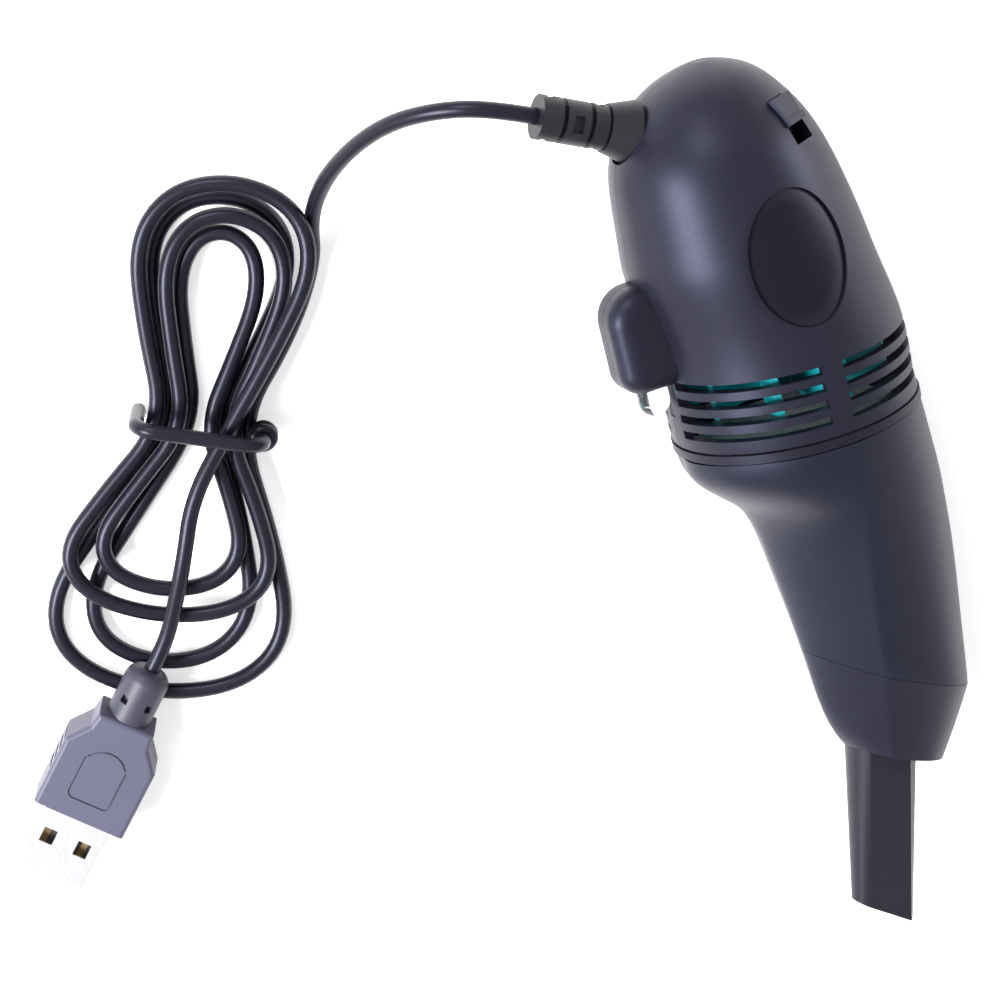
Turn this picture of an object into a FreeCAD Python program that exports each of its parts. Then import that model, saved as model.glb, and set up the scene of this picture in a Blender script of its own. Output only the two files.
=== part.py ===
import FreeCAD, Part
import math
import os

from FreeCAD import Vector

# Desktop mini vacuum cleaner, millimetres, +Z up.
# The vacuum lies on its side with its axis along Y, the nozzle towards -Y and the
# lamp side, which is -X, rolled up. The origin is on the surface it lies on, below
# the centre of the body. Body pieces are drawn in a body frame, x across the parting
# plane, y along the axis from the cup seam towards the head, z square to the
# parting plane, and are then rolled and lifted into place.

# Body placing
roll_deg = 15.5
ring_radius = 19.4
flange_proud = 0.25
axis_height = ring_radius + flange_proud

# Housing
wall = 1.6
housing_front_y = 1.9
seam_gap = 0.1
bow_offset = 3.9
belly_radius = 18.85
head_length = 58.6
inner_radius = ring_radius - wall

# Exhaust vents
vent_rows = 4
vent_first_y = 3.9
vent_height = 1.3
vent_pitch = 2.6
vent_rib_half_deg = 5.0
lamp_rib_half_deg = 8.0

# Thumb dimples
dimple_long = 21.0
dimple_wide = 16.0
dimple_depth = 0.5
dimple_y = 29.6
dimple_azimuth_deg = 94.5

# Lamp hood and lamp
lamp_radius = 2.5
lamp_x = -(ring_radius + lamp_radius)
hood_half_width = 4.7
hood_top_x = lamp_radius - lamp_x + 2.7
hood_root_x = 5.4 - ring_radius
hood_front_y = 12.6
hood_back_y = 29.0
hood_front_round = 3.4
hood_back_round = 5.2
hood_round = 2.9
lamp_length = 8.6
lamp_tip_y = 8.0
lamp_clearance = 0.1
lamp_flange_radius = 2.9
lamp_flange_thickness = 1.0
lead_radius = 0.25
lead_spacing = 2.54
lead_length = 5.0
resistor_radius = 0.9
resistor_length = 3.4

# Cord gland
cord_diameter = 2.6
gland_root = Vector(-(bow_offset + 0.674 * belly_radius), 51.6, 0)
gland_rise_deg = 25.5
gland_length = 14.4
gland_base_radius = 5.0
gland_sleeve_radius = 3.4
gland_groove_radius = 2.5
gland_neck_radius = 2.8
gland_clearance = 0.1
gland_base_start = -0.9
gland_base_length = 4.4
gland_groove = 0.7
gland_blocks = (2.3, 3.7, 3.2)
gland_window_wide = 2.6

# Slide switch
switch_azimuth_deg = 128.3
switch_y = 48.7
switch_surface_radius = 0.788 * belly_radius
switch_slope_deg = 22.0
slot_wide = 4.8
slot_long = 7.8
knob_long = 4.7
knob_proud = 0.35
knob_clearance = 0.15
nub_long = 1.1
nub_proud = 0.7
switch_chamber_half = 5.4
switch_chamber_deep = 9.0
switch_chamber_margin = 0.5
switch_pins = (-3.0, 0.0, 3.0)
switch_pin_wide = 0.8
switch_pin_thick = 0.4
switch_pin_long = 2.0
slider_plate_thickness = 1.0
switch_travel = 2.8
switch_body_wide = 6.4
switch_body_long = 10.0
switch_body_deep = 4.0

# Motor and fan
motor_wide = 20.0
motor_flat = 15.4
motor_can_length = 20.0
motor_cap_length = 2.4
motor_front_y = 18.0
motor_wall = 0.8
motor_front_wall = 1.0
terminal_offset = 5.0
terminal_thick = 0.6
terminal_wide = 2.4
terminal_long = 3.0
armature_radius = 5.4
armature_start = 4.0
armature_length = 12.0
commutator_radius = 2.2
commutator_start = 17.0
commutator_length = 3.0
shaft_radius = 1.0
shaft_clearance = 0.05
boss_radius = 3.0
boss_height = 1.2
plate_thickness = 1.6
plate_clearance = 0.95
fan_radius = inner_radius - 1.6
fan_back_y = 14.6
fan_disc_thickness = 1.2
fan_blade_height = 8.6
fan_blade_thickness = 1.1
fan_blades = 9
fan_hub_radius = 3.2

# Housing screws
screw_radius = 1.1
screw_head_radius = 2.0
screw_head_height = 1.4
screw_clearance = 0.1
screw_boss_radius = 2.8
screw_offset = motor_wide / 2 + 2.5
screw_places = ((-screw_offset - 1.7, 34.0), (screw_offset, 34.0))
screw_thread_length = 5.0
screw_seat_z = -4.0
screw_cross_long = 3.0
screw_cross_wide = 0.6

# Dust cup, cap and filter
cup_wall = 1.5
filter_rim_thickness = 1.4
filter_sleeve_radius = ring_radius - 2.0
filter_sleeve_wall = 1.2
filter_sleeve_depth = 2.2
filter_pad_thickness = 0.6
filter_ribs = 6
cup_clearance = 0.25
collar_depth = 2.6
collar_wall = 1.2
web_thickness = 1.6
web_recess = 1.4

# Crevice tube
tube_tilt_deg = 10.5
tube_width = 11.5
tube_tip_width = 10.1
tube_ridge = 9.3
tube_nose = 2.2
tube_half_thick_root = 4.0
tube_half_thick_tip = 2.1
tube_wall = 0.9
tube_inside = 7.0
tube_long_side = 31.2
tube_short_side = 26.4
tube_clearance = 0.2
tube_root = Vector(-3.6, -55.0, 0)

# Plug
plug_front = Vector(-127.15, -39.6, 0)
plug_heading_deg = 229.5
plug_tilt_deg = 4.0
plug_lift = 0.15
plug_width = 15.8
plug_height = 8.0
plug_length = 19.0
plug_shoulder_x = 12.6
plug_waist_x = 16.2
plug_waist_half = 5.2
plug_rear_half = 4.8
plug_edge_round = 0.8
panel_line = 0.35
panel_depth = 0.25
panel_half = 3.75
panel_front_x = 3.3
panel_back_x = 11.1
grip_count = 4
grip_pitch = 1.9
shell_width = 12.0
shell_height = 4.5
shell_length = 12.0
shell_wall = 0.3
shell_root = 6.0
shell_round = 0.45
shell_hole_long = 2.7
shell_hole_wide = 2.3
shell_hole_x = -5.55
shell_hole_offset = 3.0
tongue_thickness = 1.8
tongue_clearance = 0.1
contact_count = 4
contact_pitch = 2.2
contact_width = 1.1
contact_thickness = 0.2
contact_length = 8.5
contact_recess = 1.4
relief_length = 9.1
relief_radius = 3.7
relief_round = 2.2
relief_window = 1.3

# Cord hank
strand_gap = 0.63
hank_waist = Vector(-91.0, 18.4, 0)
hank_heading_deg = 67.0
hank_turns = 4
hank_points_per_turn = 16
hank_first_point = -1

# Reach and width of the upper and of the lower loops, at the start and the end of
# the lower two turns and of the upper two
hank_lower_sizes = ((41.5, 30.5), (25.0, 11.0), (48.5, 38.0), (38.0, 20.0))
hank_upper_sizes = ((31.0, 42.0), (11.5, 25.0), (27.0, 36.0), (21.0, 35.0))
hank_lean = 2.6
hank_ease = 0.3
tie_radius = 1.2
tie_clearance = 0.3

cord_radius = cord_diameter / 2
gland_direction = Vector(-math.cos(math.radians(gland_rise_deg)), math.sin(math.radians(gland_rise_deg)), 0)

# Outline of the head: station along the axis, shares of the bow offset and radius
head_stations = (
    (housing_front_y, 0.0, ring_radius),
    (9.0, 0.0, ring_radius),
    (16.0, 0.05, 0.5 * (ring_radius + belly_radius)),
    (24.6, 0.43, belly_radius),
    (32.7, 0.69, 0.976 * belly_radius),
    (40.9, 0.87, 0.91 * belly_radius),
    (47.0, 1.0, 0.82 * belly_radius),
    (51.2, 1.0, 0.692 * belly_radius),
    (54.5, 0.94, 0.543 * belly_radius),
    (56.6, 0.84, 0.389 * belly_radius),
    (57.9, 0.76, 0.224 * belly_radius),
    (head_length, 0.72, 0.08 * belly_radius),
)

# Cup and cap stations: nose x and y, back x and y, half height, and how far the
# section has gone from a circle to the ridged nozzle shape. Every x and the half
# height are shares of the ring radius.
cup_stations = (
    (-1.0, 0.0, 1.0, 0.0, 1.0, 0.0),
    (-0.997, -1.9, 1.015, -2.6, 0.997, 0.0),
    (-0.948, -4.3, 1.034, -7.4, 0.969, 0.05),
    (-0.809, -7.2, 1.052, -11.8, 0.928, 0.2),
    (-0.655, -10.2, 1.059, -15.6, 0.881, 0.42),
    (-0.567, -13.4, 1.062, -20.0, 0.835, 0.65),
    (-0.505, -19.0, 1.052, -28.0, 0.763, 0.9),
    (-0.448, -27.0, 1.01, -38.6, 0.67, 1.0),
    (-0.387, -36.6, 0.954, -51.0, 0.557, 1.0),
)
cap_stations = (
    cup_stations[-1],
    (-0.356, -43.0, 0.866, -54.3, 0.474, 1.0),
    (-0.304, -49.6, 0.737, -58.4, 0.397, 1.0),
    (-0.211, -54.3, 0.608, -62.2, 0.335, 1.0),
)

# Normalised half section, from nose to back: a circle and the ridged shape
ROUND_ANGLES = (0.0, 30.0, 62.0, 84.0, 101.0, 136.0, 180.0)
RIDGED = (
    (0.0, 0.0),
    (0.045, 0.33),
    (0.18, 0.70),
    (0.31, 0.94),
    (0.43, 1.0),
    (0.79, 0.74),
    (1.0, 0.0),
)


def loft(wires):
    return Part.makeLoft(wires, True, False)


def body_place(shape):
    """Roll a body-frame shape about the axis and lift it off the surface."""
    placed = shape.copy()
    placed.rotate(Vector(0, 0, 0), Vector(0, 1, 0), roll_deg)
    placed.translate(Vector(0, 0, axis_height))
    return placed


def body_point(point):
    """Place one body-frame point in the part's frame."""
    turn = FreeCAD.Rotation(Vector(0, 1, 0), roll_deg)
    return turn.multVec(point) + Vector(0, 0, axis_height)


def body_vector(direction):
    return FreeCAD.Rotation(Vector(0, 1, 0), roll_deg).multVec(direction)


def circle_wire(y, centre_x, radius):
    circle = Part.Circle(Vector(centre_x, y, 0), Vector(0, 1, 0), radius)
    return Part.Wire([circle.toShape()])


def head_solid(inset):
    """Head and belly of the housing, drawn in by inset; an inset one is open in front."""
    radius_share = 1 - inset / belly_radius
    length = head_length - housing_front_y
    length_share = 1 - inset / length
    wires = []
    for y, offset, radius in head_stations:
        along = housing_front_y + (y - housing_front_y) * length_share
        if y == housing_front_y and inset > 0:
            along = y - wall
        wires.append(circle_wire(along, -offset * bow_offset, radius * radius_share))
    return loft(wires)


def ridged_wire(station, inset=0.0):
    """Closed section through twelve points, the same from nose to back each side."""
    nose_share, nose_y, back_share, back_y, height_share, ridged = station
    nose_x = nose_share * ring_radius
    back_x = back_share * ring_radius
    half_height = height_share * ring_radius
    width = back_x - nose_x
    side = []
    for angle, (share, rise) in zip(ROUND_ANGLES, RIDGED):
        turn = math.radians(angle)
        round_share = (1 - math.cos(turn)) / 2
        u = round_share + (share - round_share) * ridged
        v = math.sin(turn) + (rise - math.sin(turn)) * ridged
        x = nose_x + inset + (width - 2 * inset) * u
        y = nose_y + (back_y - nose_y) * (x - nose_x) / width
        side.append(Vector(x, y, (half_height - inset) * v))
    lower = [Vector(p.x, p.y, -p.z) for p in side[-2:0:-1]]
    points = side + lower
    count = len(points)
    curve = Part.BSplineCurve()
    steps = [i / count for i in range(count + 1)]
    curve.interpolate(Points=points, PeriodicFlag=True, Parameters=steps)
    return Part.Wire([curve.toShape()])


def ridged_solid(stations, inset=0.0):
    return loft([ridged_wire(s, inset) for s in stations])


def cylinder(start, direction, radius, length):
    return Part.makeCylinder(radius, length, start, direction)


def box_between(low, high):
    size = high - low
    return Part.makeBox(size.x, size.y, size.z, low)


def sector(inner, outer, y, height, start_deg, end_deg):
    """Ring sector; azimuth runs from the lamp side over +z to the back."""
    span = end_deg - start_deg
    axis = Vector(0, 1, 0)
    blank = Part.makeCylinder(outer, height, Vector(0, y, 0), axis, span)
    core = Part.makeCylinder(inner, height, Vector(0, y, 0), axis, 360)
    ring = blank.cut(core)
    ends = [v.Point for v in blank.Vertexes if math.hypot(v.X, v.Z) > outer - 0.01]
    azimuths = sorted({round(azimuth_of(p), 3) for p in ends})
    base = azimuths[0]
    if azimuths[-1] - azimuths[0] > 180:
        base = azimuths[-1]
    ring.rotate(Vector(0, 0, 0), axis, start_deg - base)
    return ring


def azimuth_of(point):
    return math.degrees(math.atan2(point.z, -point.x)) % 360


def half_space(sign):
    """Block that keeps one side of the parting plane, less half the seam."""
    reach = 90.0
    if sign > 0:
        return box_between(Vector(-reach, -reach, seam_gap / 2), Vector(reach, reach, reach))
    return box_between(Vector(-reach, -reach, -reach), Vector(reach, reach, -seam_gap / 2))


def vent_cutters():
    cutters = []
    groups = (
        (lamp_rib_half_deg, 90 - vent_rib_half_deg),
        (90 + vent_rib_half_deg, 180 - lamp_rib_half_deg),
        (180 + lamp_rib_half_deg, 270 - vent_rib_half_deg),
        (270 + vent_rib_half_deg, 360 - lamp_rib_half_deg),
    )
    for row in range(vent_rows):
        y = vent_first_y + row * vent_pitch
        for start, end in groups:
            cutters.append(sector(inner_radius - 1.0, ring_radius + 2.0, y, vent_height, start, end))
    return cutters


def rounded_hood():
    """Hood over the lamp, rounded behind and blunter towards the nozzle."""
    body = box_between(
        Vector(-hood_top_x, hood_front_y, -hood_half_width),
        Vector(hood_root_x, hood_back_y, hood_half_width),
    )
    for y, radius in ((hood_front_y, hood_front_round), (hood_back_y, hood_back_round)):
        corner = [e for e in body.Edges if edge_lies_at(e, -hood_top_x, y)]
        body = body.makeFillet(radius, corner)
    sides = [e for e in body.Edges if e.BoundBox.ZLength < 0.01 and e.BoundBox.XMin < hood_root_x - 0.1]
    return body.makeFillet(hood_round, sides)


def edge_lies_at(edge, x, y):
    return all(abs(v.X - x) < 0.01 and abs(v.Y - y) < 0.01 for v in edge.Vertexes)


def gland_point(distance):
    return gland_root + gland_direction * distance


def switch_frame():
    """Centre of the switch slot on the surface, and its across, along and out axes."""
    azimuth = math.radians(switch_azimuth_deg)
    slope = math.radians(switch_slope_deg)
    radial = Vector(-math.cos(azimuth), 0, math.sin(azimuth))
    centre = Vector(-bow_offset, switch_y, 0) + radial * switch_surface_radius
    outward = radial * math.cos(slope) + Vector(0, math.sin(slope), 0)
    along = Vector(0, math.cos(slope), 0) - radial * math.sin(slope)
    across = along.cross(outward)
    return centre, across, along, outward


def switch_block(across_size, along_low, along_high, out_low, out_high):
    """Box in the switch's own axes."""
    centre, across, along, outward = switch_frame()
    blank = Part.makeBox(
        across_size,
        along_high - along_low,
        out_high - out_low,
        Vector(-across_size / 2, along_low, out_low),
    )
    matrix = FreeCAD.Matrix(
        across.x, along.x, outward.x, centre.x,
        across.y, along.y, outward.y, centre.y,
        across.z, along.z, outward.z, centre.z,
    )
    blank.Placement = FreeCAD.Placement(matrix)
    return blank


def dimple_cutter(sign):
    """Oval thumb recess of even depth, following the surface."""
    oval = Part.Ellipse(Vector(0, 0, 0), dimple_long / 2, dimple_wide / 2).toShape()
    face = Part.Face(Part.Wire([oval]))
    face.rotate(Vector(0, 0, 0), Vector(0, 0, 1), 90)
    face.translate(Vector(-0.55 * bow_offset, dimple_y, 0.4 * belly_radius))
    prism = face.extrude(Vector(0, 0, belly_radius))
    prism.rotate(Vector(0, 0, 0), Vector(0, 1, 0), dimple_azimuth_deg - 90)
    cutter = prism.cut(head_solid(dimple_depth))
    if sign < 0:
        cutter = cutter.mirror(Vector(0, 0, 0), Vector(0, 0, 1))
    return cutter


def housing_half(sign):
    """One moulded half of the housing, sign +1 above the parting plane."""
    outer = head_solid(0.0).fuse(rounded_hood())
    hollow = head_solid(wall)
    body = outer.cut(hollow)
    body = body.cut(dimple_cutter(sign))
    boss = cylinder(gland_point(-4.0), gland_direction, gland_base_radius + 1.0, 3.6)
    body = body.fuse(boss.common(head_solid(0.2)))
    for x, y in screw_places:
        post = Part.makeCylinder(screw_boss_radius, 2 * belly_radius, Vector(x, y, -belly_radius))
        body = body.fuse(post.common(head_solid(0.3)))
    body = body.cut(lamp_space())
    body = body.cut(cylinder(gland_point(-6.0), gland_direction, gland_neck_radius + gland_clearance, 8.0))
    seat_start = gland_point(gland_base_start - gland_clearance)
    seat = cylinder(seat_start, gland_direction, gland_base_radius + gland_clearance, 8.0)
    body = body.cut(seat)
    body = body.cut(motor_space())
    for cutter in vent_cutters():
        body = body.cut(cutter)
    body = body.cut(screw_space())
    body = body.cut(switch_block(slot_wide, -slot_long / 2, slot_long / 2, -4.0, 4.0))
    under = slider_top() + knob_clearance
    chamber_wide = switch_body_wide + 2 * switch_chamber_margin
    half = switch_chamber_half
    body = body.cut(switch_block(chamber_wide, -half, half, -switch_chamber_deep, under))
    return body.common(half_space(sign))


def lamp_space():
    """Bore for the lamp and the hollow of the hood behind it."""
    reach = lamp_radius + lamp_clearance
    bore = cylinder(Vector(lamp_x, lamp_tip_y - 1, 0), Vector(0, 1, 0), reach, lamp_length)
    back = lamp_tip_y + lamp_length - lamp_flange_thickness - 0.2
    half = hood_half_width - wall + 0.1
    hollow = box_between(
        Vector(-hood_top_x + wall, back, -half),
        Vector(-inner_radius + 1.5, hood_back_y - 2 * wall, half),
    )
    return bore.fuse(hollow)


def screw_space():
    """Clearance holes and head pockets in the lower half, pilot holes above."""
    cuts = []
    for x, y in screw_places:
        hole = screw_radius + screw_clearance
        cuts.append(Part.makeCylinder(hole, screw_thread_length + 6.0, Vector(x, y, -6.0)))
        pocket = screw_head_radius + screw_clearance
        depth = belly_radius
        cuts.append(Part.makeCylinder(pocket, depth, Vector(x, y, screw_seat_z - depth)))
    return cuts[0].multiFuse(cuts[1:])


def screws():
    solids = []
    for x, y in screw_places:
        seat = screw_seat_z
        shank = Part.makeCylinder(screw_radius, screw_thread_length - seat - 0.5, Vector(x, y, seat))
        head = Part.makeCylinder(screw_head_radius, screw_head_height, Vector(x, y, seat - screw_head_height))
        long, wide = screw_cross_long, screw_cross_wide
        low = seat - screw_head_height
        slot = Part.makeBox(long, wide, wide, Vector(x - long / 2, y - wide / 2, low))
        cross = Part.makeBox(wide, long, wide, Vector(x - wide / 2, y - long / 2, low))
        solids.append(shank.fuse(head).cut(slot).cut(cross))
    return Part.makeCompound(solids)


def motor_profile(start_y, length, grow=0.0):
    radius = motor_wide / 2 + grow
    flat = motor_flat / 2 + grow
    body = Part.makeCylinder(radius, length, Vector(0, start_y, 0), Vector(0, 1, 0))
    block = box_between(Vector(-radius, start_y - 1, -flat), Vector(radius, start_y + length + 1, flat))
    return body.common(block)


def motor_space():
    length = motor_can_length + motor_cap_length
    return motor_profile(motor_front_y - 0.2, length + 0.4, 0.3)


def motor_can():
    body = motor_profile(motor_front_y, motor_can_length)
    inner = motor_profile(motor_front_y + motor_front_wall, motor_can_length, -motor_wall)
    boss = cylinder(Vector(0, motor_front_y - boss_height, 0), Vector(0, 1, 0), boss_radius, boss_height)
    bore = cylinder(Vector(0, motor_front_y - 3, 0), Vector(0, 1, 0), shaft_radius + shaft_clearance, 8.0)
    return body.cut(inner).fuse(boss).cut(bore)


def motor_end_cap():
    start = motor_front_y + motor_can_length + 0.05
    body = motor_profile(start, motor_cap_length)
    bore_radius = shaft_radius + shaft_clearance
    bore = cylinder(Vector(0, start - 1, 0), Vector(0, 1, 0), bore_radius, motor_cap_length - 0.4)
    return body.cut(bore)


def motor_terminals():
    start = motor_front_y + motor_can_length + motor_cap_length + 0.1
    tabs = []
    for side in (-1, 1):
        low = Vector(side * terminal_offset - terminal_thick / 2, start, -terminal_wide / 2)
        tabs.append(box_between(low, low + Vector(terminal_thick, terminal_long, terminal_wide)))
    return Part.makeCompound(tabs)


def rotor():
    """Shaft with its armature inside the can."""
    start = fan_back_y - fan_blade_height
    end = motor_front_y + motor_can_length + 0.9
    shaft = cylinder(Vector(0, start, 0), Vector(0, 1, 0), shaft_radius, end - start)
    axis = Vector(0, 1, 0)
    armature_y = motor_front_y + armature_start
    armature = cylinder(Vector(0, armature_y, 0), axis, armature_radius, armature_length)
    commutator_y = motor_front_y + commutator_start
    commutator = cylinder(Vector(0, commutator_y, 0), axis, commutator_radius, commutator_length)
    return shaft.fuse(armature).fuse(commutator)


def motor_plate():
    """Disc behind the fan that carries the motor."""
    radius = inner_radius - plate_clearance
    y = motor_front_y - plate_thickness - 0.05
    disc = cylinder(Vector(0, y, 0), Vector(0, 1, 0), radius, plate_thickness)
    hole = cylinder(Vector(0, y - 1, 0), Vector(0, 1, 0), boss_radius + 0.15, 5.0)
    return disc.cut(hole)


def fan():
    """Radial fan: back disc, hub and curved blades."""
    disc = cylinder(Vector(0, fan_back_y, 0), Vector(0, 1, 0), fan_radius, fan_disc_thickness)
    front = fan_back_y - fan_blade_height
    hub = cylinder(Vector(0, front, 0), Vector(0, 1, 0), fan_hub_radius, fan_blade_height)
    body = disc.fuse(hub)
    for i in range(fan_blades):
        inner = Vector(fan_hub_radius - 0.4, front, 0)
        middle = Vector(fan_radius * 0.6, front, fan_radius * 0.16)
        tip = Vector(fan_radius - 0.3, front, 0.0)
        outside = Part.Arc(inner, middle, tip).toShape()
        shift = Vector(0, 0, -fan_blade_thickness)
        back = Part.Arc(tip + shift, middle + shift, inner + shift).toShape()
        side_a = Part.LineSegment(tip, tip + shift).toShape()
        side_b = Part.LineSegment(inner + shift, inner).toShape()
        face = Part.Face(Part.Wire([outside, side_a, back, side_b]))
        blade = face.extrude(Vector(0, fan_blade_height, 0))
        blade.rotate(Vector(0, 0, 0), Vector(0, 1, 0), 360.0 * i / fan_blades)
        body = body.fuse(blade)
    bore = cylinder(Vector(0, front - 1, 0), Vector(0, 1, 0), shaft_radius, fan_blade_height + 4)
    return body.cut(bore)


def lamp():
    """Clear lamp with a round tip and a flange at its base."""
    straight = lamp_length - lamp_radius
    start = Vector(lamp_x, lamp_tip_y + lamp_radius, 0)
    barrel = cylinder(start, Vector(0, 1, 0), lamp_radius, straight)
    tip = Part.makeSphere(lamp_radius, start)
    base_y = lamp_tip_y + lamp_length - lamp_flange_thickness
    base = cylinder(Vector(lamp_x, base_y, 0), Vector(0, 1, 0), lamp_flange_radius, lamp_flange_thickness)
    return barrel.fuse(tip).fuse(base).removeSplitter()


def lamp_leads():
    y = lamp_tip_y + lamp_length + 0.02
    leads = []
    for side in (-1, 1):
        start = Vector(lamp_x, y, side * lead_spacing / 2)
        leads.append(cylinder(start, Vector(0, 1, 0), lead_radius, lead_length))
    return Part.makeCompound(leads)


def lamp_resistor():
    y = lamp_tip_y + lamp_length + lead_length + 0.05
    body = cylinder(Vector(lamp_x, y, lead_spacing / 2), Vector(0, 1, 0), resistor_radius, resistor_length)
    return body.makeFillet(0.3, body.Edges)


def slider_top():
    sag = slot_wide ** 2 / (8 * switch_surface_radius)
    return -wall - sag - 0.5


def switch_slider():
    """Smooth knob in the slot with a nub, on a wider plate under the wall."""
    high = slot_long / 2 - knob_clearance
    low = high - knob_long
    top = slider_top()
    wide = slot_wide - 2 * knob_clearance
    knob = switch_block(wide, low, high, top, knob_proud)
    nub = switch_block(wide, low, low + nub_long, top, nub_proud)
    plate = switch_block(switch_body_wide, low - 0.9, high + 0.3, top - slider_plate_thickness, top)
    return knob.fuse(nub).fuse(plate)


def switch_body():
    top = slider_top() - slider_plate_thickness - 0.1
    half = switch_body_long / 2
    return switch_block(switch_body_wide, -half, half, top - switch_body_deep, top)


def switch_terminals():
    bottom = slider_top() - slider_plate_thickness - 0.15 - switch_body_deep
    pins = []
    half = switch_pin_thick / 2
    for place in switch_pins:
        pin = switch_block(switch_pin_wide, place - half, place + half, bottom - switch_pin_long, bottom)
        pins.append(pin)
    return Part.makeCompound(pins)


def gland():
    """Strain relief: inner flange, neck, flared base and a sleeve in windowed blocks."""
    flange = cylinder(gland_point(-5.6), gland_direction, gland_base_radius - 0.8, 1.4)
    neck_start = -4.4
    neck_length = gland_base_start + 0.5 - neck_start
    neck = cylinder(gland_point(neck_start), gland_direction, gland_neck_radius, neck_length)
    base = Part.makeCone(
        gland_base_radius, gland_sleeve_radius + 0.3, gland_base_length,
        gland_point(gland_base_start), gland_direction,
    )
    start = gland_base_start + gland_base_length - 0.4
    core = cylinder(gland_point(start), gland_direction, gland_groove_radius, gland_length - start)
    body = flange.fuse(neck).fuse(base).fuse(core)
    room = gland_length - start - gland_groove * len(gland_blocks)
    side = gland_direction.cross(Vector(0, 0, 1))
    for i, share in enumerate(gland_blocks):
        start += gland_groove
        length = room * share / sum(gland_blocks)
        block = cylinder(gland_point(start), gland_direction, gland_sleeve_radius, length)
        across, facing = (side, Vector(0, 0, 1)) if i % 2 else (Vector(0, 0, 1), side)
        for sign in (-1, 1):
            block = block.cut(gland_window(start, length, across, facing * sign))
        body = body.fuse(block)
        start += length
    return body


def gland_window(start, length, across, facing):
    """Pocket in one side of a block, down to the core."""
    reach = gland_sleeve_radius
    corner = gland_point(start + 0.28 * length) + across * (-gland_window_wide / 2)
    corner = corner + facing * gland_groove_radius
    run = gland_direction * (0.44 * length)
    width = across * gland_window_wide
    points = [corner, corner + run, corner + run + width, corner + width]
    return Part.Face(Part.makePolygon(points + points[:1])).extrude(facing * reach)


def filter_frame():
    """Thin lip between cup and housing, with a sleeve into the cup and spokes."""
    axis = Vector(0, 1, 0)
    lip_start = (housing_front_y - filter_rim_thickness) / 2
    lip = cylinder(Vector(0, lip_start, 0), axis, ring_radius + flange_proud, filter_rim_thickness)
    depth = filter_sleeve_depth
    sleeve = cylinder(Vector(0, lip_start - depth, 0), axis, filter_sleeve_radius, depth + 0.2)
    bore_radius = filter_sleeve_radius - filter_sleeve_wall
    bore = cylinder(Vector(0, lip_start - depth - 1, 0), axis, bore_radius, depth + 6)
    body = lip.fuse(sleeve).cut(bore)
    spoke_y = lip_start - depth
    for i in range(filter_ribs // 2):
        low = Vector(-bore_radius - 0.3, spoke_y, -0.5)
        spoke = box_between(low, Vector(bore_radius + 0.3, spoke_y + 1.0, 0.5))
        spoke.rotate(Vector(0, 0, 0), axis, 180.0 * i / (filter_ribs // 2))
        body = body.fuse(spoke)
    return body


def filter_pad():
    lip_start = (housing_front_y - filter_rim_thickness) / 2
    y = lip_start - filter_sleeve_depth + 1.05
    radius = filter_sleeve_radius - filter_sleeve_wall - 0.1
    return cylinder(Vector(0, y, 0), Vector(0, 1, 0), radius, filter_pad_thickness)


def dust_cup():
    """Scooped cup, open to the filter and to the cap."""
    outer = ridged_solid(cup_stations)
    inner = ridged_solid(cup_stations, cup_wall)
    return outer.cut(inner)


def shifted(stations, distance):
    return tuple((a, b + distance, c, d + distance, e, f) for a, b, c, d, e, f in stations)


def nozzle_cap():
    """Cap with a collar inside the cup and a web that holds the tube."""
    gap = 0.08
    stations = shifted(cap_stations, -gap)
    outer = ridged_solid(stations)
    inner = ridged_solid(stations, cup_wall)
    body = outer.cut(inner)
    seam = stations[0]
    inset = cup_wall + cup_clearance + 0.15
    collar = loft([ridged_wire(seam, inset), ridged_wire(shifted((seam,), collar_depth)[0], inset)])
    root = shifted((seam,), -1.6)[0]
    foot = loft([ridged_wire(root, inset - 0.5), ridged_wire(seam, inset)])
    hole = loft([
        ridged_wire(shifted((seam,), -2.6)[0], inset + collar_wall),
        ridged_wire(shifted((seam,), collar_depth + 1)[0], inset + collar_wall),
    ])
    body = body.fuse(collar.fuse(foot).cut(hole))
    mouth = shifted((stations[-1],), web_recess)[0]
    deep = shifted((stations[-1],), web_recess + web_thickness)[0]
    web = loft([ridged_wire(mouth, cup_wall - 0.5), ridged_wire(deep, cup_wall - 0.5)])
    web = web.common(outer)
    body = body.fuse(web)
    return body.cut(tube_blank(tube_clearance, tube_inside + 3.0))


def tube_axes():
    tilt = math.radians(tube_tilt_deg)
    along = Vector(-math.sin(tilt), -math.cos(tilt), 0)
    across = Vector(math.cos(tilt), -math.sin(tilt), 0)
    return along, across


def tube_wire(distance, half, inset):
    """Flat tube section: rounded nose edge, flat faces, slanted back edge."""
    along, across = tube_axes()
    origin = tube_root + along * distance

    def at(width, height):
        return origin + across * width + Vector(0, 0, height)

    h = half - inset
    nose = inset
    flat = nose + tube_nose
    ridge = tube_ridge - 0.5 * inset
    taper = (tube_half_thick_root - half) / (tube_half_thick_root - tube_half_thick_tip)
    back = tube_width - (tube_width - tube_tip_width) * taper - inset
    low = 0.4 * h
    edges = [
        Part.Arc(at(flat, -h), at(nose, 0), at(flat, h)).toShape(),
        Part.LineSegment(at(flat, h), at(ridge, h)).toShape(),
        Part.LineSegment(at(ridge, h), at(back, low)).toShape(),
        Part.LineSegment(at(back, low), at(back, -low)).toShape(),
        Part.LineSegment(at(back, -low), at(ridge, -h)).toShape(),
        Part.LineSegment(at(ridge, -h), at(flat, -h)).toShape(),
    ]
    return Part.Wire(edges)


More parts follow.
